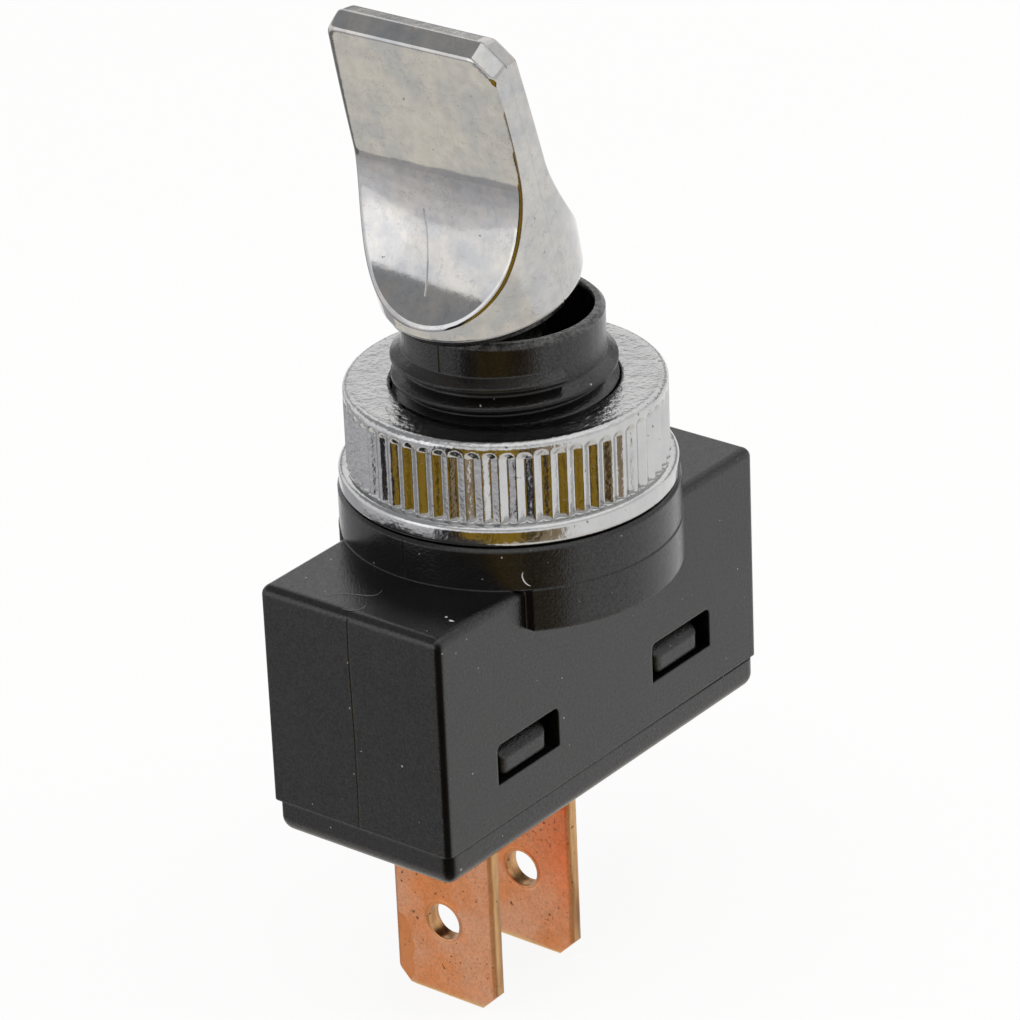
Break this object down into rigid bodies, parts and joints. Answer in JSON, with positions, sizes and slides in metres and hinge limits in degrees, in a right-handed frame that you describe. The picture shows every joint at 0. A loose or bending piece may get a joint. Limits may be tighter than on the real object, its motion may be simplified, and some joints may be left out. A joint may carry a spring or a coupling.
{
  "type": "toggle switch",
  "caption": "Panel toggle switch: a chromed paddle lever in a threaded bushing with a knurled nut, on a black snap-fit box with copper blade terminals.",
  "frame": {"origin": "on the bushing's axis, on the top of the collar, where the panel's back face seats", "axes": "+Z along the bushing towards the lever, X along the long side of the body, the lever rests towards -X"},
  "size_m": [0.0256, 0.017, 0.0516],
  "materials": {
    "black_plastic": "satin black moulding",
    "copper": "punched copper strip, slightly oxidised",
    "silver": "silver contact rivet",
    "chrome": "bright chrome plating",
    "plated_steel": "bright plated turned steel",
    "steel": "plain steel",
    "nylon": "natural nylon"
  },
  "bodies": {
    "switch_body": {"housing": "black_plastic", "base": "black_plastic", "load_terminal": "copper", "common_terminal": "copper", "fixed_contact": "silver"},
    "lever": {"paddle": "chrome", "lever_stem": "plated_steel", "pivot_pin": "steel", "plunger_spring": "steel"},
    "plunger": {"plunger": "nylon"},
    "rocker": {"rocker": "copper", "moving_contact": "silver"},
    "nut": {"dress_nut": "chrome"}
  },
  "joints": [
    {"name": "lever_tilt", "type": "hinge", "parent": "switch_body", "child": "lever", "pos_m": [0, 0, 0.0054], "axis": [0, 1, 0], "range_deg": [0, 31]},
    {"name": "rocker_tilt", "type": "hinge", "parent": "switch_body", "child": "rocker", "pos_m": [0, 0, -0.0094], "axis": [0, 1, 0], "range_deg": [-16, 0]},
    {"name": "plunger_travel", "type": "slide", "parent": "lever", "child": "plunger", "axis": [-0.2672, 0, 0.9636], "range_m": [0, 0.0008], "stiffness_N_per_m": 400, "springref_m": -0.0015, "deforming": ["plunger_spring"]},
    {"name": "nut_travel", "type": "slide", "parent": "switch_body", "child": "nut", "axis": [0, 0, 1], "range_m": [0, 0.0036]}
  ],
  "couplings": [
    {"joint": "rocker_tilt", "follows": "lever_tilt", "ratio": -0.51613}
  ]
}
